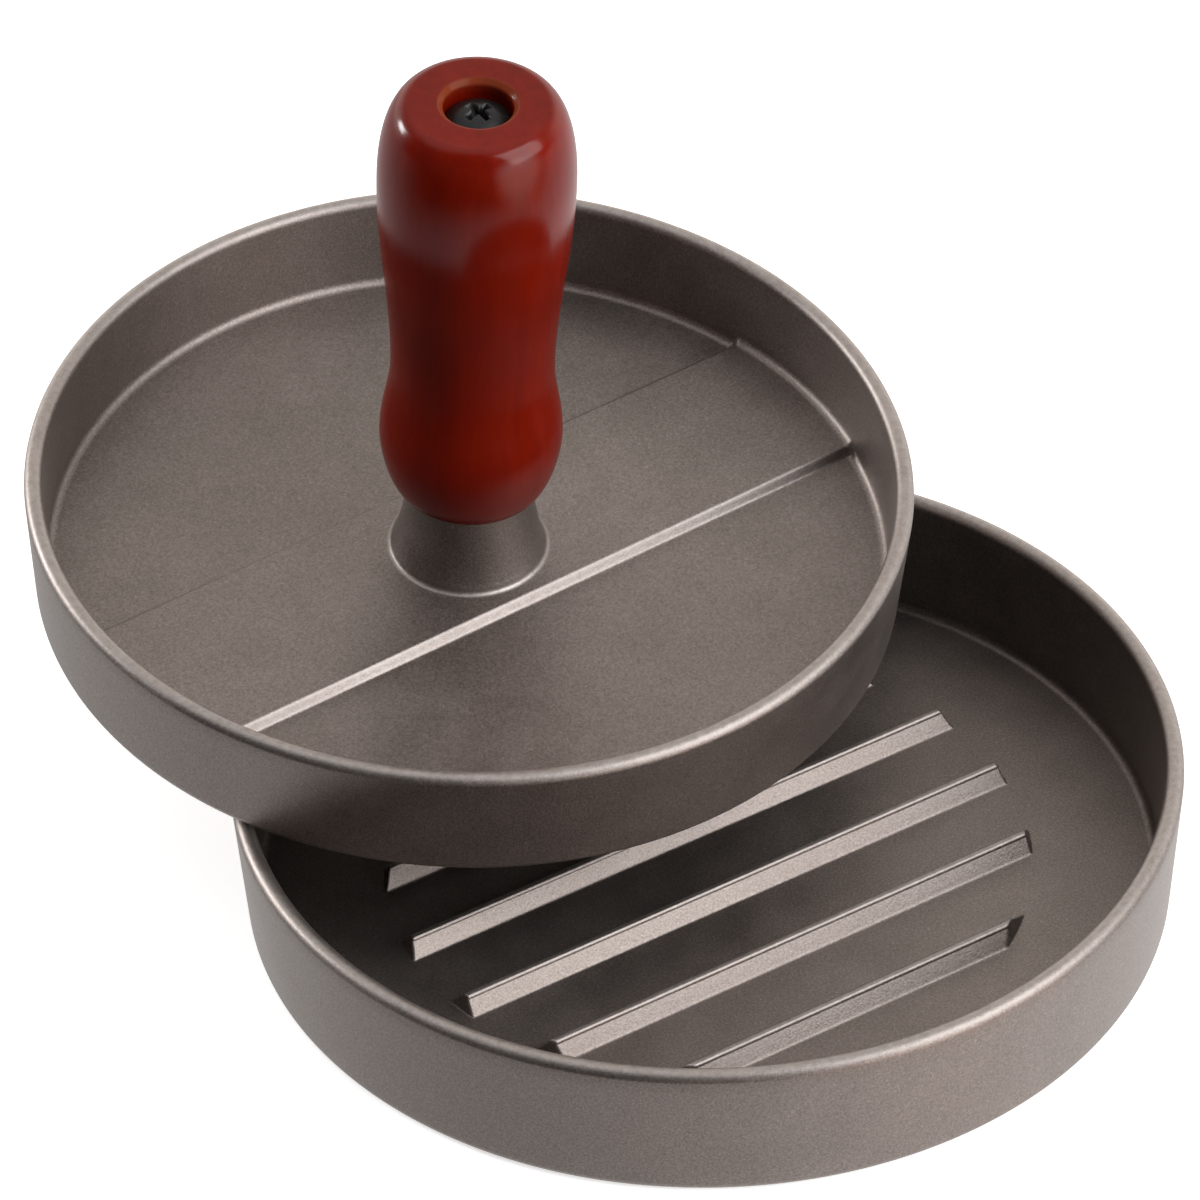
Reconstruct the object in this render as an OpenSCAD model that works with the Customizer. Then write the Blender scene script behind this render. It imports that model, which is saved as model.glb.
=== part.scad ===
// Round patty press: a cast mould pan with raised sear ribs, and a cast press
// plate with a turned wooden handle held on by one long machine screw.
// The plate is loose. It is shown lying on the pan's rim, leaning to the front.
// Origin: centre of the pan's foot, on the table. X runs along the ribs, Z is up.

/* [Mould pan] */
// Outer radius at the rim
pan_rim_r = 60; // [55:0.5:70]
// Overall height
pan_h = 20; // [16:0.5:30]
// Wall thickness, which is also the width of the rounded rim
pan_wall = 2.4; // [2:0.1:3.5]
// How far the outer wall draws in from the rim to the foot
pan_draft = 1.2; // [0.5:0.1:2]
// Floor thickness
pan_floor = 1.8; // [1.5:0.1:3]

/* [Sear ribs] */
// Number of parallel ribs, evenly spread about the centre
rib_count = 6; // [2:2:8]
// Distance between neighbouring ribs
rib_pitch = 13.1; // [11:0.1:14]
// Height above the floor
rib_h = 2.2; // [1:0.1:3]
// Width at the crest
rib_crest_w = 0.9; // [0.6:0.1:2]
// Width at the foot
rib_foot_w = 4.1; // [3:0.1:6]
// Radius of the circle that trims the rib ends, at the crest
rib_circle_r = 40.6; // [38:0.1:42]

/* [Press plate] */
// Outer radius at the rim
plate_rim_r = 57; // [52:0.5:57]
// Height of the plate's own wall
plate_h = 16.8; // [14:0.1:20]
// Wall thickness, which is also the width of the rounded rim
plate_wall = 2.3; // [2:0.1:3]
// How far the outer wall draws in from the rim to the foot
plate_draft = 1; // [0.5:0.1:2]
// Floor thickness beside the raised band
plate_floor = 2.8; // [2:0.1:4]
// Rise of the band that crosses the floor
band_h = 1.2; // [0.6:0.1:2]
// Width of the flat top of the band
band_w = 24.4; // [22:0.1:30]

/* [Boss] */
// Radius where the boss meets the band
boss_base_r = 10.1; // [9.5:0.1:12]
// Radius under the handle
boss_top_r = 8.2; // [7.5:0.1:9]
// Height of the boss top above the plate's underside
boss_top_z = 15.3; // [13:0.1:18]

/* [Handle] */
// Overall height of the press, from the underside to the top of the handle
press_h = 76.8; // [70:0.1:90]
// Radius of the lower bulge
bulge_low_r = 11.7; // [10:0.1:14]
// Radius of the waist
waist_r = 10.4; // [9:0.1:12]
// Radius of the upper bulge
bulge_top_r = 12.4; // [11:0.1:15]
// Radius of the flat on top
handle_top_r = 8.3; // [7:0.1:10]
// Diameter of the counterbore in the top
counterbore_d = 8.8; // [8.8:0.1:10]
// Depth of the counterbore
counterbore_depth = 4.9; // [4.5:0.1:10]
// Diameter of the chamfered lip of the counterbore
lip_d = 10; // [9:0.1:11]

/* [Screw] */
// Thread diameter
screw_d = 4; // [4:0.5:5]
// Diameter of the head
screw_head_d = 8.2; // [7:0.1:8.2]
// Height of the domed head
screw_head_h = 3; // [2.5:0.1:3.5]
// Thickness of the washer under the head
washer_t = 0.8; // [0.5:0.1:1.2]

/* [Resting place of the press] */
// Centre of the plate's underside, along the ribs
rest_x = -6.7; // [-8:0.1:8]
// Centre of the plate's underside, across the ribs
rest_y = 46.5; // [46:0.1:50]
// Centre of the plate's underside, above the table
rest_z = 22.4; // [22.4:0.1:24]
// Angle by which the press leans
rest_lean = 5.25; // [0:0.05:5.25]
// Compass direction in which it leans, from the ribs' direction
rest_lean_dir = -86; // [-90:1:-80]
// Turn of the band away from the ribs' direction
rest_band_turn = 3.5; // [0:0.5:10]

/* [Hidden] */
$fn = 96;

cut = 1;                       // how far cutting tools run past a face
corner_r = 1.4;                // rounding of the outer foot corners
fillet_r = 1.2;                // fillets between the floors and the walls
band_slope = 0.9;              // run of each sloped edge of the band
rib_end_slope = 0.7;           // run of the sloped rib ends
inner_draft = 0.3;             // how far the inner walls draw in to the floors
fit = 0.1;                     // clearance on diameter between screw and boss
screw_clear_d = screw_d + 0.5; // through hole in the handle
screw_tip_z = 6;               // end of the screw above the plate's underside
hole_end_z = 5;                // bottom of the blind hole in the boss
washer_d = screw_head_d + 0.4;  // the washer fills the counterbore
recess_w = 1.2;                // width of one wing of the cross recess
recess_d = 4.2;                // span of the cross recess at the top
recess_depth = 2;
recess_flare = 1.3;            // how much wider than its span the recess's cone is
recess_turn = 9;               // turn of the cross recess away from the band
head_rim_h = 1.5;              // straight side of the screw head
thread_chamfer = 0.8;

band_top_z = plate_floor + band_h;
head_seat_z = press_h - counterbore_depth;
lip_h = (lip_d - counterbore_d) / 2; // height of the lip's 45 degree chamfer

// Heights of the handle's turned outline
bulge_low_z = 23.7;
waist_z = 35.2;
bulge_top_z = 64.8;
handle_foot_r = 8.9;
foot_power = 1.25;             // squareness of the rounded foot
top_power = 0.9;               // squareness of the shoulder

// Points on a circular arc about [x, y], from angle a0 to a1
function arc(x, y, r, a0, a1, steps = 6) =
    [for (i = [0:steps]) let (a = a0 + (a1 - a0) * i / steps) [x + r * cos(a), y + r * sin(a)]];

// Points on a gentle S between two radii at two heights, without its last point
function ease(z0, r0, z1, r1, steps = 10) =
    [for (i = [0:steps - 1]) [r0 + (r1 - r0) * (1 - cos(180 * i / steps)) / 2, z0 + (z1 - z0) * i / steps]];

// Outline of a shallow round dish, from the axis underneath to the axis on top
function dish(rim_r, h, wall, draft, floor_t) =
    let (
        foot_r = rim_r - draft,
        half = wall / 2,
        inner_foot_r = rim_r - wall - inner_draft
    )
    concat(
        [[0, 0]],
        arc(foot_r - corner_r, corner_r, corner_r, -90, 0),
        arc(rim_r - half, h - half, half, 0, 180, 12),
        arc(inner_foot_r - fillet_r, floor_t + fillet_r, fillet_r, 0, -90),
        [[0, floor_t]]
    );

// One rib, as a ridge with sloping sides along X
module rib_ridge() {
    rotate([90, 0, 90])
        linear_extrude(height = 2 * rib_circle_r + 4 * cut, center = true)
            polygon([
                [-rib_foot_w / 2, -cut / 2],
                [rib_foot_w / 2, -cut / 2],
                [rib_foot_w / 2, 0],
                [rib_crest_w / 2, rib_h],
                [-rib_crest_w / 2, rib_h],
                [-rib_foot_w / 2, 0]
            ]);
}

// All ribs, with their ends trimmed to one sloping circle
module ribs() {
    intersection() {
        union()
            for (i = [0:rib_count - 1])
                translate([0, (i - (rib_count - 1) / 2) * rib_pitch, pan_floor])
                    rib_ridge();
        translate([0, 0, pan_floor - cut / 2])
            cylinder(
                h = rib_h + cut / 2,
                r1 = rib_circle_r + rib_end_slope * (1 + cut / 2 / rib_h),
                r2 = rib_circle_r
            );
    }
}

module mould_pan() {
    color("#73706c")
        union() {
            rotate_extrude()
                polygon(dish(pan_rim_r, pan_h, pan_wall, pan_draft, pan_floor));
            ribs();
        }
}

// Puts a piece of the press where the press rests, with its band turned and leaning
module at_rest() {
    translate([rest_x, rest_y, rest_z])
        rotate([0, 0, rest_lean_dir])
            rotate([0, rest_lean, 0])
                rotate([0, 0, rest_band_turn - rest_lean_dir])
                    children();
}

// The raised band, which runs along X from wall to wall
module band() {
    slope_at_foot = band_slope * (1 + cut / 2 / band_h);
    intersection() {
        rotate([90, 0, 90])
            linear_extrude(height = 2 * plate_rim_r, center = true)
                polygon([
                    [-band_w / 2 - slope_at_foot, plate_floor - cut / 2],
                    [band_w / 2 + slope_at_foot, plate_floor - cut / 2],
                    [band_w / 2, band_top_z],
                    [-band_w / 2, band_top_z]
                ]);
        cylinder(h = plate_h, r = plate_rim_r - plate_wall);
    }
}

// The boss, flaring down to the band
module boss() {
    steps = 10;
    rotate_extrude()
        polygon(concat(
            [[0, plate_floor - cut / 2], [boss_base_r, plate_floor - cut / 2]],
            [for (i = [0:steps])
                let (u = i / steps)
                [boss_top_r + (boss_base_r - boss_top_r) * (1 - u) * (1 - u),
                    band_top_z + (boss_top_z - band_top_z) * u]],
            [[0, boss_top_z]]
        ));
}

module press_plate() {
    color("#73706c")
        at_rest()
            difference() {
                union() {
                    rotate_extrude()
                        polygon(dish(plate_rim_r, plate_h, plate_wall, plate_draft, plate_floor));
                    band();
                    boss();
                }
                translate([0, 0, hole_end_z])
                    cylinder(h = boss_top_z, d = screw_d + fit);
            }
}

// Turned outline of the handle, from the foot up to the flat on top
function handle_outline(steps = 8) = concat(
    [[0, boss_top_z]],
    [for (i = [steps:-1:1])
        let (a = 90 * i / steps)
        [handle_foot_r + (bulge_low_r - handle_foot_r) * pow(cos(a), foot_power),
            bulge_low_z - (bulge_low_z - boss_top_z) * pow(sin(a), foot_power)]],
    ease(bulge_low_z, bulge_low_r, waist_z, waist_r),
    ease(waist_z, waist_r, bulge_top_z, bulge_top_r),
    [for (i = [0:steps])
        let (a = 90 * i / steps)
        [handle_top_r + (bulge_top_r - handle_top_r) * pow(cos(a), top_power),
            bulge_top_z + (press_h - bulge_top_z) * pow(sin(a), top_power)]],
    [[0, press_h]]
);

module handle() {
    color("#7a1608")
        at_rest()
            difference() {
                rotate_extrude()
                    polygon(handle_outline());
                translate([0, 0, boss_top_z - cut])
                    cylinder(h = press_h, d = screw_clear_d);
                translate([0, 0, head_seat_z])
                    cylinder(h = counterbore_depth + cut, d = counterbore_d);
                translate([0, 0, press_h - lip_h])
                    cylinder(h = 2 * lip_h, d1 = counterbore_d, d2 = counterbore_d + 4 * lip_h);
            }
}

module screw_washer() {
    color("#9a9a9a")
        at_rest()
            translate([0, 0, head_seat_z])
                difference() {
                    cylinder(h = washer_t, d = washer_d);
                    translate([0, 0, -cut])
                        cylinder(h = washer_t + 2 * cut, d = screw_clear_d);
                }
}

// Cross recess: two crossed wings that narrow to a point
module cross_recess(top_z) {
    intersection() {
        union() {
            translate([-recess_d / 2, -recess_w / 2, top_z - recess_depth])
                cube([recess_d, recess_w, recess_depth + cut]);
            translate([-recess_w / 2, -recess_d / 2, top_z - recess_depth])
                cube([recess_w, recess_d, recess_depth + cut]);
        }
        translate([0, 0, top_z - recess_depth])
            cylinder(h = recess_depth + cut, d1 = recess_w, d2 = recess_d * recess_flare);
    }
}

module handle_screw() {
    head_z = head_seat_z + washer_t;
    top_z = head_z + screw_head_h;
    dome_h = screw_head_h - head_rim_h;
    head_r = screw_head_d / 2;
    dome_r = (head_r * head_r + dome_h * dome_h) / (2 * dome_h);
    dome_a = asin(head_r / dome_r);
    color("#1b1b1d")
        at_rest()
            difference() {
                rotate_extrude()
                    polygon(concat(
                        [[0, screw_tip_z],
                            [screw_d / 2 - thread_chamfer, screw_tip_z],
                            [screw_d / 2, screw_tip_z + thread_chamfer],
                            [screw_d / 2, head_z],
                            [head_r, head_z]],
                        arc(0, top_z - dome_r, dome_r, 90 - dome_a, 90)
                    ));
                rotate([0, 0, recess_turn])
                    cross_recess(top_z);
            }
}

mould_pan();
press_plate();
handle();
screw_washer();
handle_screw();
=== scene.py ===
import math

import bmesh
import bpy
from mathutils import Matrix, Vector
from mathutils.geometry import delaunay_2d_cdt


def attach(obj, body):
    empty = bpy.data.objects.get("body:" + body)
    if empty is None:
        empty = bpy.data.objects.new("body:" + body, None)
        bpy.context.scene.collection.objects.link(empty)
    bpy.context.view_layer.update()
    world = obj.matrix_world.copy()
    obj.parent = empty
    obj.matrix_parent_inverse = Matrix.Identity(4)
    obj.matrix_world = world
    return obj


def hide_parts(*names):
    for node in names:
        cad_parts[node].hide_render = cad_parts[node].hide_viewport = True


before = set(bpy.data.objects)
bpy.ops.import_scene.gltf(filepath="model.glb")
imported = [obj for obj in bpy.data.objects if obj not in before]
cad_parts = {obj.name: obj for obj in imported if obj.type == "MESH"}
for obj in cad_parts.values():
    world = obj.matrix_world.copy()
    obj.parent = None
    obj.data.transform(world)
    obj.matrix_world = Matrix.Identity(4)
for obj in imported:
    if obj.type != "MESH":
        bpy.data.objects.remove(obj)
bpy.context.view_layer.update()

MM = 0.001
TAU = 2 * math.pi

# ---------------------------------------------------------------- sizes, in millimetres, as in the CAD

PAN_RIM_R = 60.0
PAN_H = 20.0
PAN_WALL = 2.4
PAN_DRAFT = 1.2
PAN_FLOOR = 1.8

# Both dishes: rounding of the foot, fillet round the floor, and how far the inner wall draws in
CORNER_R = 1.4
FILLET_R = 1.2
INNER_DRAFT = 0.3

RIB_COUNT = 6
RIB_PITCH = 13.1
RIB_H = 2.2
RIB_FOOT_W = 4.1
RIB_CREST_CIRCLE_R = 40.6
RIB_FOOT_CIRCLE_R = 41.3

# The crest: half its flat, its slope at the edge, and the small step from there down to the side
CREST_FLAT = 0.18
CREST_STEEP = 1.5
CREST_STEP_AT = 0.5
CREST_STEP_RUN = 0.05
CREST_STEP = 0.2

# Softness of the ribs' corners and of their foot, and the height from which their crest is worn
RIB_CORNER_SOFT = 0.6
RIB_FOOT_SOFT = 0.25
RIB_WORN_SHARE = 0.9

PLATE_RIM_R = 57.0
PLATE_H = 16.8
PLATE_WALL = 2.3
PLATE_DRAFT = 1.0
PLATE_FLOOR = 2.8
BAND_TOP_Z = 4.0
BAND_W = 24.4
BAND_SLOPE = 0.9
BAND_SOFT = 0.3
# lighter colour on the band's edge: wear on its top edge, a painted highlight down its slope and foot
BAND_WEAR_AND_HIGHLIGHT = 0.5

BOSS_BASE_R = 10.1
BOSS_TOP_R = 8.2
BOSS_TOP_Z = 15.3
BOSS_ROUND = 0.3
BOSS_HOLE_R = 2.05
BOSS_HOLE_Z = 5.0

# The fillet where the boss meets the band
TOE_R = 10.65
TOE_H = 0.7
TOE_TUCK = 0.15

PRESS_H = 76.8
HANDLE_FOOT_R = 8.9
BULGE_LOW_R = 11.7
BULGE_LOW_Z = 23.7
WAIST_R = 10.4
WAIST_Z = 35.2
BULGE_TOP_R = 12.4
BULGE_TOP_Z = 64.8
HANDLE_TOP_R = 8.3
FOOT_POWER = 1.25
TOP_POWER = 0.9
COUNTERBORE_R = 4.4
LIP_R = 5.0
LIP_SOFT = 0.05
SEAT_Z = 71.9
CLEAR_R = 2.25

WASHER_T = 0.8
WASHER_R = 4.3
WASHER_SOFT = 0.15

SCREW_R = 2.0
SCREW_TIP_Z = 6.0
SCREW_TIP_H = 0.8
THREAD_TOP_Z = 26.0
THREAD_PITCH = 0.8
THREAD_DEPTH = 0.42
THREAD_FADE = 1.5
HEAD_R = 4.1
HEAD_RIM_H = 1.5
HEAD_H = 3.0
HEAD_SOFT = 0.2
RECESS_W = 1.2
RECESS_SPAN = 4.2
RECESS_DEPTH = 2.0
RECESS_SLOPE = 0.12
RECESS_TURN = math.radians(9)

# Resting place of the press on the pan's rim
REST = Vector((-6.7, 46.5, 22.4))
REST_LEAN = math.radians(5.25)
REST_LEAN_DIR = math.radians(-86)
REST_BAND_TURN = math.radians(3.5)

IN_PLACE = Matrix.Scale(MM, 4)
AT_REST = (
    IN_PLACE
    @ Matrix.Translation(REST)
    @ Matrix.Rotation(REST_LEAN_DIR, 4, "Z")
    @ Matrix.Rotation(REST_LEAN, 4, "Y")
    @ Matrix.Rotation(REST_BAND_TURN - REST_LEAN_DIR, 4, "Z")
)

# ---------------------------------------------------------------- fineness of the meshes

DISH_STEPS = 288
TURNED_STEPS = 192
SCREW_STEPS = 144
WASHER_STEPS = 96
FLOOR_STEPS = 64
WALL_STEPS = 8
ROUND_STEPS = 8
RIM_STEPS = 20
SMALL_ROUND_STEPS = 3
RIB_STEPS = 56
BAND_STEPS = 110
BESIDE_BAND_STEPS = 120
TOE_STEPS = 6
BOSS_STEPS = 24
THREAD_STEPS = 300

# ---------------------------------------------------------------- camera, in metres

CAMERA_PLACE = Vector((-0.3443, -0.5452, 0.5625))
CAMERA_AIM = Vector((0.00524, 0.03337, 0.02))
CAMERA_ROLL = math.radians(-1.731)
CAMERA_LENS = 200.9
SENSOR_W = 36


def make_camera():
    data = bpy.data.cameras.new("camera")
    data.lens = CAMERA_LENS
    data.sensor_width = SENSOR_W
    data.clip_start = 0.01
    data.clip_end = 50
    camera = bpy.data.objects.new("camera", data)
    look = (CAMERA_AIM - CAMERA_PLACE).to_track_quat("-Z", "Y").to_matrix().to_4x4()
    camera.matrix_world = Matrix.Translation(CAMERA_PLACE) @ look @ Matrix.Rotation(CAMERA_ROLL, 4, "Z")
    bpy.context.scene.collection.objects.link(camera)
    bpy.context.scene.camera = camera


# ---------------------------------------------------------------- mesh helpers


class Shape:
    """Points in millimetres in a piece's own frame, with faces and an edge weight for each point."""

    def __init__(self):
        self.points = []
        self.edge = []
        self.faces = []

    def add(self, x, y, z, edge=0.0):
        self.points.append((x, y, z))
        self.edge.append(edge)
        return len(self.points) - 1

    def radius(self, i):
        return math.hypot(*self.points[i][:2])

    def ring(self, angles, r, z, edge=0.0):
        return [self.add(r * math.cos(a), r * math.sin(a), z, edge) for a in angles]

    def join(self, a, b):
        """Quads between two closed rings of the same count."""
        n = len(a)
        for i in range(n):
            j = (i + 1) % n
            self.faces.append((a[i], a[j], b[j], b[i]))

    def cap(self, ring, z):
        """Triangles from a closed ring to a point on the axis."""
        centre = self.add(0, 0, z)
        n = len(ring)
        for i in range(n):
            self.faces.append((ring[i], ring[(i + 1) % n], centre))

    def revolve(self, profile, angles, start):
        """Rings along a profile of (radius, height, edge), after an earlier ring. Returns the last ring."""
        last = start
        for r, z, edge in profile:
            ring = self.ring(angles, r, z, edge)
            self.join(last, ring)
            last = ring
        return last

    def turn_closed(self, profile, angles):
        """A solid of revolution with a hole through it, from a closed profile."""
        first = self.ring(angles, *profile[0])
        last = self.revolve(profile[1:], angles, first)
        self.join(last, first)

    def weave(self, grid):
        """Quads between the rows of a grid of points. Returns the points of its border."""
        for a, b in zip(grid, grid[1:]):
            for i in range(len(a) - 1):
                self.faces.append((a[i], a[i + 1], b[i + 1], b[i]))
        right = [row[-1] for row in grid[1:-1]]
        left = [row[0] for row in grid[-2:0:-1]]
        return grid[0] + right + grid[-1][::-1] + left

    def fill(self, *loops):
        """Triangles inside the first loop, and outside the second if there is one."""
        loops = [self.counterclockwise(loop) for loop in loops]
        ids = [i for loop in loops for i in loop]
        flat = [Vector(self.points[i][:2]) for i in ids]
        faces, base = [], 0
        for loop in loops:
            faces.append(list(range(base, base + len(loop))))
            base += len(loop)
        _, _, triangles, origin, _, inside = delaunay_2d_cdt(flat, [], faces, 1, 1e-5)
        for triangle, within in zip(triangles, inside):
            if list(within) == [0]:
                self.faces.append(tuple(ids[origin[k][0]] for k in triangle))

    def counterclockwise(self, loop):
        corners = [self.points[i] for i in loop]
        area = sum(a[0] * b[1] - b[0] * a[1] for a, b in zip(corners, corners[1:] + corners[:1]))
        return loop if area > 0 else loop[::-1]

    def used(self):
        """Drops the points that no face uses."""
        keep = sorted({i for face in self.faces for i in face})
        place = {old: new for new, old in enumerate(keep)}
        self.points = [self.points[i] for i in keep]
        self.edge = [self.edge[i] for i in keep]
        self.faces = [tuple(place[i] for i in face) for face in self.faces]


def spread(low, high, steps):
    """Even places from low to high, both included."""
    return [low + (high - low) * i / steps for i in range(steps + 1)]


def even_angles(n):
    return [TAU * i / n for i in range(n)]


def mirrored(places):
    """Places on both sides of 0, in order and each one once."""
    return sorted({round(side * place, 4) for place in places for side in (-1, 1)})


def arc(x, y, r, a0, a1, steps, edge=0.0):
    """Profile points on an arc, angles in degrees."""
    angles = [math.radians(a) for a in spread(a0, a1, steps)]
    return [(x + r * math.cos(a), y + r * math.sin(a), edge) for a in angles]


def between(r0, z0, r1, z1, steps):
    """Profile points on a straight line, without its ends."""
    return list(zip(spread(r0, r1, steps), spread(z0, z1, steps), [0.0] * (steps + 1)))[1:-1]


def smooth_min(a, b, k):
    h = max(k - abs(a - b), 0.0) / k
    return min(a, b) - h * h * k / 4


def smooth_max(a, b, k):
    return -smooth_min(-a, -b, k)


def piece(name, shape, place, material, body, node):
    """Makes the shape a shown piece that rides on a body and stands for a CAD node."""
    shape.used()
    mesh = bpy.data.meshes.new(name)
    built = bmesh.new()
    verts = [built.verts.new(p) for p in shape.points]
    for face in shape.faces:
        built.faces.new([verts[i] for i in face])
    bmesh.ops.recalc_face_normals(built, faces=built.faces)
    for face in built.faces:
        face.smooth = True
    built.to_mesh(mesh)
    built.free()
    own = mesh.attributes.new("own", "FLOAT_VECTOR", "POINT")
    own.data.foreach_set("vector", [c for p in shape.points for c in p])
    # the edge weight: wear on rims, crests and edges, and a painted highlight round the boss's toe and along
    # the band's edge
    worn = mesh.attributes.new("edge", "FLOAT", "POINT")
    worn.data.foreach_set("value", shape.edge)
    mesh.transform(place)
    mesh.materials.append(material)
    made = bpy.data.objects.new(name, mesh)
    bpy.context.scene.collection.objects.link(made)
    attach(made, body)
    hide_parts(node)


# ---------------------------------------------------------------- both dishes


def wall_profile(rim_r, h, wall, draft, floor):
    """From the fillet at the floor, up the inner wall, over the rim and down to the foot's edge."""
    foot_r = rim_r - draft
    half = wall / 2
    low, high = floor + FILLET_R, h - half
    inner_top_r = rim_r - wall
    inner_foot_r = inner_top_r - INNER_DRAFT
    fillet = arc(inner_foot_r - FILLET_R, low, FILLET_R, -90, 0, ROUND_STEPS)
    inner_wall = between(inner_foot_r, low, inner_top_r, high, WALL_STEPS)
    rim = arc(rim_r - half, high, half, 180, 0, RIM_STEPS)
    rim = [(r, z, max(0.0, (z - high) / half) ** 2) for r, z, _ in rim]
    outer_wall = between(rim_r, high, foot_r, CORNER_R, WALL_STEPS)
    corner = arc(foot_r - CORNER_R, CORNER_R, CORNER_R, 0, -90, ROUND_STEPS)
    return fillet + inner_wall + rim + outer_wall + corner


def underside(shape, ring, angles, foot_r):
    """The flat under a dish, from the foot's edge to the centre."""
    for share in (0.85, 0.6, 0.3):
        inner = shape.ring(angles, foot_r * share, 0)
        shape.join(ring, inner)
        ring = inner
    shape.cap(ring, 0)


# ---------------------------------------------------------------- the mould pan

# Circle between the mesh of the ribs and the rings of the dish
PAN_FLOOR_RING_R = 48
# Mesh lines at these distances from a rib's middle: on its crest, its slope, round its foot and beside it
CREST_LINES = (0, 0.12, 0.18, 0.24, 0.3, 0.36, 0.42, 0.46, 0.5, 0.525, 0.55, 0.58, 0.65)
SLOPE_LINES = (0.85, 1.1, 1.4, 1.65, 1.8, 1.9)
FOOT_LINES = (1.97, 2.03, 2.09, 2.16, 2.25, 2.45)
BESIDE_LINES = (3.2, 4.6)
# How far the mesh runs past the middles of the outer ribs
RIB_MARGIN = 3.21
# Circle up to which the columns of the mesh are even, and circles that the last columns follow
RIB_EVEN_R = 39.4
RIB_END_RADII = (
    39.7, 39.95, 40.15, 40.3, 40.42, 40.52, 40.62, 40.74,
    40.88, 41.02, 41.14, 41.24, 41.34, 41.48, 41.7, 42.1,
)


def rib_middle(row):
    return (row - (RIB_COUNT - 1) / 2) * RIB_PITCH


def rib_side(across):
    """Height of a rib at a distance from its middle: a rounded crest, a small step, a straight slope."""
    crest_run = CREST_STEP_AT - CREST_FLAT
    if across < CREST_STEP_AT:
        return RIB_H - CREST_STEEP * max(0.0, across - CREST_FLAT) ** 2 / (2 * crest_run)
    low = RIB_H - CREST_STEEP * crest_run / 2 - CREST_STEP
    foot = RIB_FOOT_W / 2
    slope = low * (foot - across) / (foot - CREST_STEP_AT - CREST_STEP_RUN)
    step = low + CREST_STEP * (1 - (across - CREST_STEP_AT) / CREST_STEP_RUN)
    return max(min(slope, low), step)


def rib_height(x, y):
    """Height of the ribs above the pan's floor, and how worn the point is."""
    row = round(y / RIB_PITCH + (RIB_COUNT - 1) / 2)
    row = min(max(row, 0), RIB_COUNT - 1)
    side = rib_side(abs(y - rib_middle(row)))
    end = (RIB_FOOT_CIRCLE_R - math.hypot(x, y)) * RIB_H / (RIB_FOOT_CIRCLE_R - RIB_CREST_CIRCLE_R)
    height = smooth_max(smooth_min(side, end, RIB_CORNER_SOFT), 0.0, RIB_FOOT_SOFT)
    return height, max(0.0, (height / RIB_H - RIB_WORN_SHARE) / (1 - RIB_WORN_SHARE))


def rib_lines():
    """Places of the mesh lines across the ribs, close together on the crest and round the foot."""
    offsets = CREST_LINES + SLOPE_LINES + FOOT_LINES + BESIDE_LINES
    lines = mirrored(rib_middle(row) + offset for row in range(RIB_COUNT) for offset in offsets)
    return [line for line in lines if abs(line) <= rib_middle(RIB_COUNT - 1) + RIB_MARGIN]


def rib_columns(y):
    """Places of the mesh lines along the ribs. The last ones follow the circle of the ribs' ends."""
    even = math.sqrt(RIB_EVEN_R**2 - y**2)
    ends = [math.sqrt(r * r - y * y) for r in RIB_END_RADII]
    return [-x for x in reversed(ends)] + spread(-even, even, RIB_STEPS) + ends


def make_pan(material):
    shape = Shape()
    grid = []
    for y in rib_lines():
        row = []
        for x in rib_columns(y):
            height, edge = rib_height(x, y)
            row.append(shape.add(x, y, PAN_FLOOR + height, edge))
        grid.append(row)
    border = shape.weave(grid)
    angles = even_angles(DISH_STEPS)
    floor_ring = shape.ring(angles, PAN_FLOOR_RING_R, PAN_FLOOR)
    shape.fill(floor_ring, border)
    profile = wall_profile(PAN_RIM_R, PAN_H, PAN_WALL, PAN_DRAFT, PAN_FLOOR)
    last = shape.revolve(profile, angles, floor_ring)
    underside(shape, last, angles, PAN_RIM_R - PAN_DRAFT)
    piece("pan_cast", shape, IN_PLACE, material, "mould", "mould_pan")


# ---------------------------------------------------------------- the press plate

# Mesh lines on the band's flat top, from its middle, and at its edge, from the end of the flat
BAND_TOP_LINES = (0, 2, 4, 6, 8, 9.5, 10.8, 11.5)
BAND_EDGE_LINES = (-0.4, -0.25, -0.12, 0, 0.12, 0.25, 0.4, 0.55, 0.7, 0.82, 0.94, 1.06, 1.2, 1.5, 2.2)
# Part of the flat top that shares the lighter colour of the band's edge, here as wear
BAND_WORN_W = 0.2
# Room between the toe of the boss and the mesh of the floor
TOE_ROOM = 0.3
# Mesh rings of the wall over which the band's rise fades out
LIFT_FADE_RINGS = 8


def band_height(y):
    """Height of the plate's floor above its lowest part, at a distance across the band."""
    rise = BAND_TOP_Z - PLATE_FLOOR
    side = (BAND_W / 2 + BAND_SLOPE - abs(y)) * rise / BAND_SLOPE
    return smooth_max(smooth_min(side, rise, BAND_SOFT), 0.0, BAND_SOFT)


def band_edge(y):
    """How much lighter the floor is across the band: wear on its top edge, a painted highlight down its slope
    and round its foot.
    """
    return BAND_WEAR_AND_HIGHLIGHT if BAND_W / 2 - BAND_WORN_W < abs(y) < BAND_W / 2 + BAND_SLOPE else 0.0


def band_lines():
    """Places of the mesh lines across the band, close together at its sloping edges."""
    return mirrored(list(BAND_TOP_LINES) + [BAND_W / 2 + offset for offset in BAND_EDGE_LINES])


def plate_grid(shape, ring_r):
    """The floor on and near the band, from side to side, with a gap for the boss."""
    grid = []
    for y in band_lines():
        reach = math.sqrt(ring_r**2 - y**2)
        z = PLATE_FLOOR + band_height(y)
        grid.append([shape.add(x, y, z, band_edge(y)) for x in spread(-reach, reach, BAND_STEPS)])
    shape.weave(grid)
    shape.faces = [f for f in shape.faces if all(shape.radius(i) > TOE_R + TOE_ROOM for i in f)]
    return grid


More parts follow.
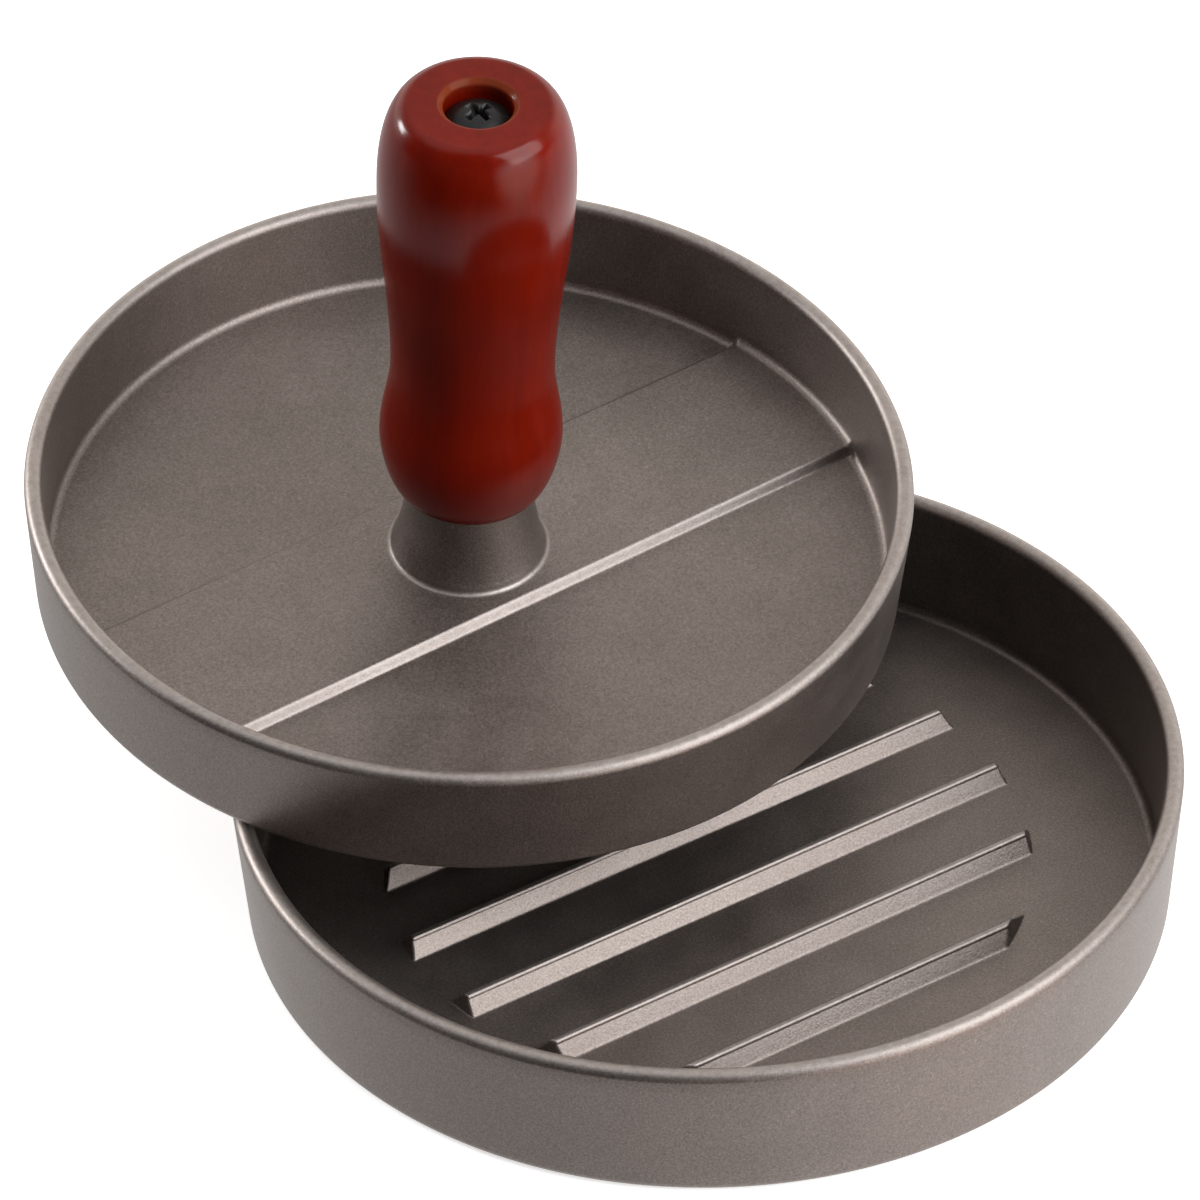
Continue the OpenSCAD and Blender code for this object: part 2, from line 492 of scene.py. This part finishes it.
def gap_edge(shape):
    """The closed loop of open edges nearest to the axis."""
    sides = {(face[i - 1], face[i]) for face in shape.faces for i in range(len(face))}
    following = {j: i for i, j in sides if (j, i) not in sides}
    loop = [min(following, key=shape.radius)]
    while following[loop[-1]] != loop[0]:
        loop.append(following[loop[-1]])
    return loop


def floor_ring(shape, grid, ring_r):
    """The floor beside the band, and the ring where it meets the fillet, with the ring's angles."""
    at_lines = [math.asin(y / ring_r) for y in band_lines()]
    beside = spread(at_lines[-1], math.pi - at_lines[-1], BESIDE_BAND_STEPS)[1:-1]
    beside_lower = [-a for a in reversed(beside)]
    angles = at_lines + beside + [math.pi - a for a in reversed(at_lines)] + beside_lower
    right = [row[-1] for row in grid]
    left = [row[0] for row in reversed(grid)]
    upper = shape.ring(beside, ring_r, PLATE_FLOOR)
    lower = shape.ring(beside_lower, ring_r, PLATE_FLOOR)
    shape.fill([right[-1]] + upper + [left[0]] + grid[-1][1:-1])
    shape.fill([left[-1]] + lower + [right[0]] + grid[0][1:-1][::-1])
    return right + upper + left + lower, angles


def plate_wall(shape, ring, angles):
    """Fillet and wall, lifted where they stand on the band. Returns the last ring."""
    rises = [band_height(shape.points[i][1]) for i in ring]
    profile = wall_profile(PLATE_RIM_R, PLATE_H, PLATE_WALL, PLATE_DRAFT, PLATE_FLOOR)
    for k, (r, z, edge) in enumerate(profile[1:], 1):
        past_fillet = max(0, k - ROUND_STEPS)
        fade = max(0.0, 1 - past_fillet / LIFT_FADE_RINGS)
        lifted = [
            shape.add(r * math.cos(a), r * math.sin(a), z + rise * fade, edge)
            for a, rise in zip(angles, rises)
        ]
        shape.join(ring, lifted)
        ring = lifted
    return ring


def boss_profile():
    """From the toe up the flared side to the top, and down into the blind hole for the screw."""
    profile = []
    for i in range(1, TOE_STEPS + 1):
        a = math.pi / 2 * i / TOE_STEPS
        r = TOE_R - (TOE_R - BOSS_BASE_R + TOE_TUCK) * math.sin(a)
        # the edge weight peaks in the middle of the toe's fillet: a painted highlight ring round the boss's
        # foot, not wear
        profile.append((r, BAND_TOP_Z + TOE_H * (1 - math.cos(a)), max(0.0, math.sin(2 * a))))
    side_top = BOSS_TOP_Z - BOSS_ROUND
    for z in spread(BAND_TOP_Z + TOE_H, side_top, BOSS_STEPS)[1:]:
        down = (BOSS_TOP_Z - z) / (BOSS_TOP_Z - BAND_TOP_Z)
        profile.append((BOSS_TOP_R + (BOSS_BASE_R - BOSS_TOP_R) * down**2, z, 0.0))
    profile += arc(BOSS_TOP_R - BOSS_ROUND, side_top, BOSS_ROUND, 30, 90, SMALL_ROUND_STEPS, 0.5)
    profile.append((BOSS_HOLE_R + BOSS_ROUND, BOSS_TOP_Z, 0.0))
    profile += [(BOSS_HOLE_R, side_top, 0.0), (BOSS_HOLE_R, BOSS_HOLE_Z, 0.0)]
    return profile


def make_plate(material):
    shape = Shape()
    ring_r = PLATE_RIM_R - PLATE_WALL - INNER_DRAFT - FILLET_R
    grid = plate_grid(shape, ring_r)
    boss_angles = even_angles(TURNED_STEPS)
    toe = shape.ring(boss_angles, TOE_R, BAND_TOP_Z)
    shape.fill(gap_edge(shape), toe)
    ring, angles = floor_ring(shape, grid, ring_r)
    last = plate_wall(shape, ring, angles)
    underside(shape, last, angles, PLATE_RIM_R - PLATE_DRAFT)
    hole_end = shape.revolve(boss_profile(), boss_angles, toe)
    shape.cap(hole_end, BOSS_HOLE_Z)
    piece("plate_cast", shape, AT_REST, material, "press", "press_plate")


# ---------------------------------------------------------------- the handle and the washer


def ease(z0, r0, z1, r1, steps):
    """Profile points on a gentle S between two radii, without the first one."""
    found = []
    for t in spread(0, 1, steps)[1:]:
        found.append((r0 + (r1 - r0) * (1 - math.cos(math.pi * t)) / 2, z0 + (z1 - z0) * t, 0.0))
    return found


def quarter(r_end, r_side, z_end, z_side, power, steps):
    """Profile points on a squarish quarter curve, from the handle's side to a flat end."""
    found = []
    for a in spread(0, math.pi / 2, steps):
        r = r_end + (r_side - r_end) * max(0.0, math.cos(a)) ** power
        found.append((r, z_side + (z_end - z_side) * math.sin(a) ** power, 0.0))
    return found


def lip_profile():
    """The chamfered lip of the counterbore, from the flat on top into the hole."""
    top, chamfer = PRESS_H, LIP_R - COUNTERBORE_R
    profile = [(LIP_R + 0.35, top, 0.0), (LIP_R + 0.12, top - 0.01, 0.3), (LIP_R, top - LIP_SOFT, 0.8)]
    profile += [(LIP_R - chamfer * t, top - LIP_SOFT - chamfer * t, 1.0) for t in (0.2, 0.5, 0.8)]
    profile += [(COUNTERBORE_R, top - chamfer - 2 * LIP_SOFT, 0.8), (COUNTERBORE_R, top - chamfer - 0.4, 0.2)]
    return profile


def make_handle(material):
    shape = Shape()
    profile = [(CLEAR_R, BOSS_TOP_Z, 0.0), (HANDLE_FOOT_R * 0.6, BOSS_TOP_Z, 0.0)]
    profile += quarter(HANDLE_FOOT_R, BULGE_LOW_R, BOSS_TOP_Z, BULGE_LOW_Z, FOOT_POWER, 28)[::-1]
    profile += ease(BULGE_LOW_Z, BULGE_LOW_R, WAIST_Z, WAIST_R, 24)
    profile += ease(WAIST_Z, WAIST_R, BULGE_TOP_Z, BULGE_TOP_R, 40)
    profile += quarter(HANDLE_TOP_R, BULGE_TOP_R, PRESS_H, BULGE_TOP_Z, TOP_POWER, 40)[1:-1]
    profile += [(HANDLE_TOP_R - 0.3, PRESS_H - 0.01, 0.0), (HANDLE_TOP_R - 1.2, PRESS_H, 0.0)]
    profile += lip_profile()
    profile += [(COUNTERBORE_R, PRESS_H - 2, 0.0), (COUNTERBORE_R, SEAT_Z, 0.0), (CLEAR_R, SEAT_Z, 0.0)]
    profile.append((CLEAR_R, (SEAT_Z + BOSS_TOP_Z) / 2, 0.0))
    shape.turn_closed(profile, even_angles(TURNED_STEPS))
    piece("handle_wood", shape, AT_REST, material, "press", "handle")


def make_washer(material):
    shape = Shape()
    soft = WASHER_SOFT
    outer, inner = WASHER_R - soft, CLEAR_R + soft
    low, high = SEAT_Z + soft, SEAT_Z + WASHER_T - soft
    profile = arc(outer, low, soft, -90, 0, SMALL_ROUND_STEPS)
    profile += arc(outer, high, soft, 0, 90, SMALL_ROUND_STEPS)
    profile += arc(inner, high, soft, 90, 180, SMALL_ROUND_STEPS)
    profile += arc(inner, low, soft, 180, 270, SMALL_ROUND_STEPS)
    shape.turn_closed(profile, even_angles(WASHER_STEPS))
    piece("washer_ring", shape, AT_REST, material, "press", "screw_washer")


# ---------------------------------------------------------------- the screw

HEAD_SEAT_Z = SEAT_Z + WASHER_T
DOME_H = HEAD_H - HEAD_RIM_H
DOME_R = (HEAD_R**2 + DOME_H**2) / (2 * DOME_H)
# Mesh lines across the head's middle, close together at the recess's walls and ends
RECESS_LINES = (0, 0.15, 0.3, 0.42, 0.48, 0.53, 0.6, 0.67, 0.8, 1.0, 1.25, 1.5, 1.7, 1.9, 2.0, 2.1, 2.2, 2.35)


def dome(r):
    """Height of the head's domed top above the seat."""
    return HEAD_H - DOME_R + math.sqrt(DOME_R**2 - r * r)


def cross_depth(x, y):
    """How far the cross recess is cut below the dome at a point."""
    half_span, half_w = RECESS_SPAN / 2, RECESS_W / 2
    found = 0.0
    for along, across in ((abs(x), abs(y)), (abs(y), abs(x))):
        by_length = (half_span - along) / (half_span - half_w) * RECESS_DEPTH
        by_width = (half_w - across) / RECESS_SLOPE * RECESS_DEPTH
        found = max(found, min(by_length, by_width, RECESS_DEPTH))
    drop = HEAD_H - dome(math.hypot(x, y))
    return smooth_max(found - drop * 0.6, 0.0, 0.1) if found > 0 else 0.0


def head_top(shape, angles):
    """The dome with its recess. Returns the ring round it."""
    turn = Matrix.Rotation(RECESS_TURN, 2)
    grid = []
    for y in mirrored(RECESS_LINES):
        row = []
        for x in mirrored(RECESS_LINES):
            z = HEAD_SEAT_Z + dome(math.hypot(x, y)) - cross_depth(x, y)
            row.append(shape.add(*(turn @ Vector((x, y))), z))
        grid.append(row)
    border = shape.weave(grid)
    inner_r = HEAD_R - 0.35
    ring = shape.ring(angles, inner_r, HEAD_SEAT_Z + dome(inner_r))
    shape.fill(ring, border)
    return ring


def thread(shape, angles, last):
    """The thread, cut into the lower end of the shank. Returns the last ring."""
    for z in spread(THREAD_TOP_Z, SCREW_TIP_Z + SCREW_TIP_H, THREAD_STEPS):
        depth = THREAD_DEPTH * min(1.0, (THREAD_TOP_Z - z) / THREAD_FADE)
        ring = []
        for a in angles:
            phase = (z / THREAD_PITCH - a / TAU) % 1.0
            r = SCREW_R - depth * abs(2 * phase - 1)
            ring.append(shape.add(r * math.cos(a), r * math.sin(a), z))
        shape.join(last, ring)
        last = ring
    return last


def make_screw(material):
    shape = Shape()
    angles = even_angles(SCREW_STEPS)
    seat, rim_z = HEAD_SEAT_Z, HEAD_SEAT_Z + HEAD_RIM_H
    ring = head_top(shape, angles)
    side = [(HEAD_R - 0.15, seat + dome(HEAD_R - 0.15) - 0.02, 0.5)]
    side += [(HEAD_R - 0.02, rim_z - 0.15, 0.5), (HEAD_R, rim_z - 0.35, 0.0)]
    side += arc(HEAD_R - HEAD_SOFT, seat + HEAD_SOFT, HEAD_SOFT, 0, -90, SMALL_ROUND_STEPS)
    side += [(SCREW_R, seat, 0.0), (SCREW_R, seat - 1, 0.0), (SCREW_R, THREAD_TOP_Z + 4, 0.0)]
    last = thread(shape, angles, shape.revolve(side, angles, ring))
    last = shape.revolve([(SCREW_R - SCREW_TIP_H, SCREW_TIP_Z, 0.0)], angles, last)
    shape.cap(last, SCREW_TIP_Z)
    piece("screw_black", shape, AT_REST, material, "press", "handle_screw")


# ---------------------------------------------------------------- materials

# Linear colours
COAT_DARK = (0.185, 0.157, 0.144)
COAT_LIGHT = (0.325, 0.283, 0.262)
COAT_SPECK = (0.46, 0.42, 0.39)
# colour of worn coat on rims and rib crests, also a painted highlight round the boss's toe and along the
# band's edge
COAT_WEAR_AND_HIGHLIGHT = (0.46, 0.42, 0.4)
STAIN_DARK = (0.135, 0.0045, 0.0004)
STAIN = (0.155, 0.0055, 0.0005)
STAIN_LIGHT = (0.175, 0.0065, 0.0005)
STAIN_PORE = (0.09, 0.003, 0.0005)
STAIN_WORN = (0.22, 0.06, 0.025)
BLACK_DARK = (0.012, 0.012, 0.013)
BLACK_LIGHT = (0.03, 0.029, 0.03)
BLACK_WORN = (0.1, 0.095, 0.09)
ZINC_DARK = (0.5, 0.5, 0.51)
ZINC_LIGHT = (0.66, 0.66, 0.68)


class Paint:
    """A node material under construction, with short calls for the nodes it uses."""

    def __init__(self, name):
        self.material = bpy.data.materials.new(name)
        self.material.use_nodes = True
        self.tree = self.material.node_tree
        self.shader = self.tree.nodes["Principled BSDF"]

    def put(self, socket, value):
        """Links a socket to another one, or sets its value. A colour may be given without its alpha."""
        if isinstance(value, bpy.types.NodeSocket):
            self.tree.links.new(value, socket)
        elif socket.type == "RGBA":
            socket.default_value = (*value[:3], 1)
        else:
            socket.default_value = value

    def node(self, kind, **inputs):
        made = self.tree.nodes.new(kind)
        for key, value in inputs.items():
            self.put(made.inputs[key], value)
        return made

    def own(self, scale=(1, 1, 1)):
        """The piece's own coordinates in millimetres, stretched by a scale."""
        source = self.node("ShaderNodeAttribute")
        source.attribute_name = "own"
        mapped = self.node("ShaderNodeMapping", Vector=source.outputs["Vector"], Scale=scale)
        return mapped.outputs["Vector"]

    def edge(self):
        """How worn the surface is, and where a highlight is painted: round the boss's toe and down the band's
        slope.
        """
        source = self.node("ShaderNodeAttribute")
        source.attribute_name = "edge"
        return source.outputs["Fac"]

    def noise(self, vector, scale, detail=2.0, roughness=0.5, distortion=0.0):
        made = self.node(
            "ShaderNodeTexNoise",
            Vector=vector, Scale=scale, Detail=detail, Roughness=roughness, Distortion=distortion,
        )
        return made.outputs["Fac"]

    def ramp(self, value, *stops):
        """A value mapped through (place, grey or colour) stops."""
        made = self.node("ShaderNodeValToRGB", Fac=value)
        band = made.color_ramp
        while len(band.elements) < len(stops):
            band.elements.new(0.5)
        for element, (place, colour) in zip(band.elements, stops):
            element.position = place
            element.color = (*colour, 1) if isinstance(colour, tuple) else (colour, colour, colour, 1)
        return made.outputs["Color"]

    def math(self, operation, a, b):
        made = self.tree.nodes.new("ShaderNodeMath")
        made.operation = operation
        self.put(made.inputs[0], a)
        self.put(made.inputs[1], b)
        return made.outputs[0]

    def mix(self, factor, a, b, blend="MIX"):
        made = self.tree.nodes.new("ShaderNodeMix")
        made.data_type = "RGBA"
        made.blend_type = blend
        for socket, value in ((0, factor), (6, a), (7, b)):
            self.put(made.inputs[socket], value)
        return made.outputs[2]

    def bump(self, height, strength, distance, **under):
        made = self.node("ShaderNodeBump", Height=height, Strength=strength, Distance=distance, **under)
        return made.outputs["Normal"]

    def finish(self, **inputs):
        """Sets the shader's inputs, whose names are written with _ for a space."""
        for key, value in inputs.items():
            self.put(self.shader.inputs[key.replace("_", " ")], value)
        return self.material


def coated_aluminium():
    """Cast aluminium under a thin warm grey coat with fine metal flakes."""
    paint = Paint("coated_aluminium")
    own = paint.own()
    flake = paint.noise(own, 3.4, detail=3, roughness=0.65)
    speck = paint.noise(own, 2.4, detail=1)
    mottle = paint.noise(own, 0.13, detail=3, roughness=0.55)
    cast = paint.noise(own, 0.6, detail=2)
    grain = paint.ramp(flake, (0.32, COAT_DARK), (0.7, COAT_LIGHT))
    base = paint.mix(1.0, grain, paint.ramp(mottle, (0.3, 0.88), (0.7, 1.03)), "MULTIPLY")
    base = paint.mix(paint.ramp(speck, (0.66, 0.0), (0.76, 0.3)), base, COAT_SPECK)
    patchy = paint.ramp(paint.noise(own, 1.1), (0.3, 0.4), (0.7, 0.75))
    # lighter where the edge weight is set: wear on the rims and the ribs' crests, a painted highlight round
    # the boss's toe and down the band's slope and foot
    base = paint.mix(paint.math("MULTIPLY", paint.edge(), patchy), base, COAT_WEAR_AND_HIGHLIGHT)
    blend = paint.math("ADD", paint.math("MULTIPLY", flake, 0.5), paint.math("MULTIPLY", mottle, 0.5))
    roughness = paint.ramp(blend, (0.3, 0.42), (0.7, 0.54))
    fine = paint.bump(flake, 0.6, 0.055 * MM)
    broad = paint.bump(cast, 0.25, 0.02 * MM, Normal=fine)
    return paint.finish(Base_Color=base, Metallic=1.0, Roughness=roughness, Normal=broad)


def lacquered_wood():
    """Turned hardwood with a red-brown stain under clear gloss lacquer. The grain runs along the handle."""
    paint = Paint("lacquered_wood")
    streak = paint.noise(paint.own((1, 1, 0.035)), 0.55, detail=4, roughness=0.6, distortion=0.6)
    pores = paint.noise(paint.own((1, 1, 0.08)), 4.5, detail=2, roughness=0.7)
    cloud = paint.noise(paint.own(), 0.06, detail=1)
    ripple = paint.noise(paint.own(), 0.35, detail=1)
    stain = paint.ramp(streak, (0.3, STAIN_DARK), (0.5, STAIN), (0.7, STAIN_LIGHT))
    stain = paint.mix(paint.ramp(pores, (0.3, 0.2), (0.5, 0.0)), stain, STAIN_PORE)
    stain = paint.mix(1.0, stain, paint.ramp(cloud, (0.3, 0.82), (0.7, 1.05)), "MULTIPLY")
    stain = paint.mix(paint.math("MULTIPLY", paint.edge(), 0.5), stain, STAIN_WORN)
    roughness = paint.ramp(streak, (0.3, 0.42), (0.7, 0.5))
    # the lacquer is thin on worn edges
    lacquer = paint.math("SUBTRACT", 0.6, paint.math("MULTIPLY", paint.edge(), 0.45))
    return paint.finish(
        Base_Color=stain, Roughness=roughness, Normal=paint.bump(pores, 0.12, 0.03 * MM),
        Specular_IOR_Level=0.0, Coat_Weight=lacquer, Coat_Roughness=0.18, Coat_IOR=1.45,
        Coat_Normal=paint.bump(ripple, 0.08, 0.15 * MM),
    )


def black_steel():
    """Steel with a satin black oxide finish, a little bare on its edges."""
    paint = Paint("black_steel")
    own = paint.own()
    fine = paint.noise(own, 5, detail=3)
    base = paint.ramp(fine, (0.3, BLACK_DARK), (0.75, BLACK_LIGHT))
    patchy = paint.ramp(paint.noise(own, 2), (0.4, 0.0), (0.7, 0.6))
    base = paint.mix(paint.math("MULTIPLY", paint.edge(), patchy), base, BLACK_WORN)
    roughness = paint.ramp(fine, (0.3, 0.3), (0.7, 0.42))
    normal = paint.bump(fine, 0.3, 0.02 * MM)
    return paint.finish(Base_Color=base, Metallic=0.6, Roughness=roughness, Normal=normal)


def zinc_steel():
    """Bright zinc-plated steel with a faint grain."""
    paint = Paint("zinc_steel")
    fine = paint.noise(paint.own(), 6, detail=2)
    base = paint.ramp(fine, (0.3, ZINC_DARK), (0.7, ZINC_LIGHT))
    roughness = paint.ramp(fine, (0.3, 0.25), (0.7, 0.38))
    normal = paint.bump(fine, 0.2, 0.01 * MM)
    return paint.finish(Base_Color=base, Metallic=1.0, Roughness=roughness, Normal=normal)


def floor_white():
    """Plain matt white floor, a little bright in itself so that it fades into the backdrop."""
    paint = Paint("floor_white")
    haze = paint.noise(paint.node("ShaderNodeTexCoord").outputs["Object"], 3, detail=2)
    return paint.finish(
        Base_Color=paint.ramp(haze, (0.3, 0.9), (0.7, 0.92)), Roughness=0.7, Specular_IOR_Level=0.2,
        Emission_Color=(1, 1, 1), Emission_Strength=0.6,
    )


# ---------------------------------------------------------------- floor, lights and world, in metres

# The studio's directions are counted from the compass direction in which the object is seen
VIEW_TURN = math.radians(-32.27)
STUDIO_AIM = Vector((0.0, 0.025, 0.03))
CARD_AZIMUTH = 131
CARD_ELEVATION = -4
FLOOR_R = 4
BACKDROP_TINT = (1, 0.95, 0.89)
TABLE_TINT = (1, 0.8, 0.7)


def studio_dir(azimuth, elevation):
    """Direction from the object, in the studio's axes: right, away, up. Azimuth 0 is away, 90 is right."""
    a, e = math.radians(azimuth), math.radians(elevation)
    return Vector((math.sin(a) * math.cos(e), math.cos(a) * math.cos(e), math.sin(e)))


def softbox(name, azimuth, elevation, distance, width, height, radiance):
    """A rectangular lamp that faces the object, and looks equally bright whatever its size."""
    data = bpy.data.lights.new(name, "AREA")
    data.shape = "RECTANGLE"
    data.size = width
    data.size_y = height
    data.energy = radiance * math.pi * width * height
    light = bpy.data.objects.new(name, data)
    outward = Matrix.Rotation(VIEW_TURN, 3, "Z") @ studio_dir(azimuth, elevation)
    look = (-outward).to_track_quat("-Z", "Y").to_matrix().to_4x4()
    light.matrix_world = Matrix.Translation(STUDIO_AIM + outward * distance) @ look
    bpy.context.scene.collection.objects.link(light)


def make_lights():
    softbox("light_front_right", 116, 36, 1.0, 0.8, 0.85, 4.8)
    softbox("light_left_window", -67, 18, 1.2, 0.27, 0.25, 30.0)


class Sky:
    """The world's nodes under construction. Its directions run right, away and up."""

    def __init__(self):
        world = bpy.data.worlds.new("studio")
        bpy.context.scene.world = world
        world.use_nodes = True
        self.tree = world.node_tree
        place = self.tree.nodes.new("ShaderNodeTexCoord")
        turned = self.tree.nodes.new("ShaderNodeMapping")
        turned.inputs["Rotation"].default_value = (0, 0, -VIEW_TURN)
        self.link(turned.inputs["Vector"], place.outputs["Generated"])
        self.direction = turned.outputs["Vector"]
        parts = self.tree.nodes.new("ShaderNodeSeparateXYZ")
        self.link(parts.inputs[0], self.direction)
        self.right, self.away, self.up = parts.outputs

    def link(self, socket, value):
        if isinstance(value, bpy.types.NodeSocket):
            self.tree.links.new(value, socket)
        elif socket.type == "RGBA":
            socket.default_value = (*value, 1)
        else:
            socket.default_value = value

    def maths(self, operation, a, b):
        made = self.tree.nodes.new("ShaderNodeMath")
        made.operation = operation
        self.link(made.inputs[0], a)
        self.link(made.inputs[1], b)
        return made.outputs[0]

    def add(self, *values):
        total = values[0]
        for value in values[1:]:
            total = self.maths("ADD", total, value)
        return total

    def times(self, a, b):
        return self.maths("MULTIPLY", a, b)

    def rest_of(self, share):
        return self.maths("SUBTRACT", 1.0, share)

    def span(self, value, low, high, at_low, at_high):
        """A smooth step from one value to another."""
        made = self.tree.nodes.new("ShaderNodeMapRange")
        made.interpolation_type = "SMOOTHSTEP"
        for socket, given in zip(made.inputs, (value, low, high, at_low, at_high)):
            self.link(socket, given)
        return made.outputs[0]

    def towards(self, direction):
        """Cosine of the angle to a direction."""
        made = self.tree.nodes.new("ShaderNodeVectorMath")
        made.operation = "DOT_PRODUCT"
        self.link(made.inputs[0], self.direction)
        self.link(made.inputs[1], direction)
        return made.outputs["Value"]

    def mixed(self, factor, a, b):
        made = self.tree.nodes.new("ShaderNodeMix")
        made.data_type = "RGBA"
        for socket, given in ((0, factor), (6, a), (7, b)):
            self.link(made.inputs[socket], given)
        return made.outputs[2]


def make_world():
    """A pale room: bright low down behind the object, dim above and behind the camera."""
    sky = Sky()
    right, away, up, span = sky.right, sky.away, sky.up, sky.span
    # above the horizon: a bright backdrop, brightest low down, and a ceiling
    behind = span(away, -0.05, 0.6, 0.0, 1.0)
    backdrop = span(up, 0.25, 0.75, 1.7, 0.15)
    ceiling = sky.times(span(up, 0.5, 0.92, 0.0, 0.85), span(away, -0.65, -0.1, 0.0, 1.0))
    above = sky.add(sky.times(behind, backdrop), ceiling, 0.08)
    # below the horizon: the pale table, brighter to the right and away from the camera
    table = sky.add(
        span(right, -0.7, 0.9, 0.4, 1.05),
        span(away, -0.3, 0.7, 0.0, 0.4),
        span(up, -0.58, -0.75, 0.0, 0.5),
    )
    fade = sky.times(span(away, -0.6, 0.1, 1.0, 0.0), span(up, -0.42, -0.6, 0.9, 0.0))
    below = sky.times(table, sky.rest_of(fade))
    # a pale card low down at the right, in front of the object
    card = span(sky.towards(studio_dir(CARD_AZIMUTH, CARD_ELEVATION)), 0.84, 0.985, 0.0, 2.6)
    is_above = span(up, -0.12, 0.02, 0.0, 1.0)
    is_below = sky.rest_of(is_above)
    radiance = sky.add(sky.times(above, is_above), sky.times(below, is_below), card)
    # the backdrop is a little warm, and so is the far part of the table in front
    front = sky.times(span(away, 0.1, -0.3, 0.0, 1.0), span(up, -0.62, -0.5, 0.0, 1.0))
    tint = sky.mixed(sky.times(behind, is_above), (1, 1, 1), BACKDROP_TINT)
    tint = sky.mixed(sky.times(front, is_below), tint, TABLE_TINT)
    background = sky.tree.nodes["Background"]
    sky.link(background.inputs["Strength"], radiance)
    sky.link(background.inputs["Color"], tint)


def make_floor():
    shape = Shape()
    angles = even_angles(FLOOR_STEPS)
    rim = shape.ring(angles, FLOOR_R, 0)
    inner = shape.ring(angles, FLOOR_R / 4, 0)
    shape.join(rim, inner)
    shape.cap(inner, 0)
    mesh = bpy.data.meshes.new("floor")
    mesh.from_pydata(shape.points, [], shape.faces)
    mesh.materials.append(floor_white())
    floor = bpy.data.objects.new("floor", mesh)
    # the object is lit by the pale studio itself, and not by the white floor
    floor.visible_glossy = False
    floor.visible_diffuse = False
    bpy.context.scene.collection.objects.link(floor)


# ---------------------------------------------------------------- the scene

make_camera()
make_floor()
make_lights()
make_world()
bpy.context.scene.view_settings.view_transform = "Standard"

coat = coated_aluminium()
make_pan(coat)
make_plate(coat)
make_handle(lacquered_wood())
make_washer(zinc_steel())
make_screw(black_steel())

bpy.context.view_layer.update()
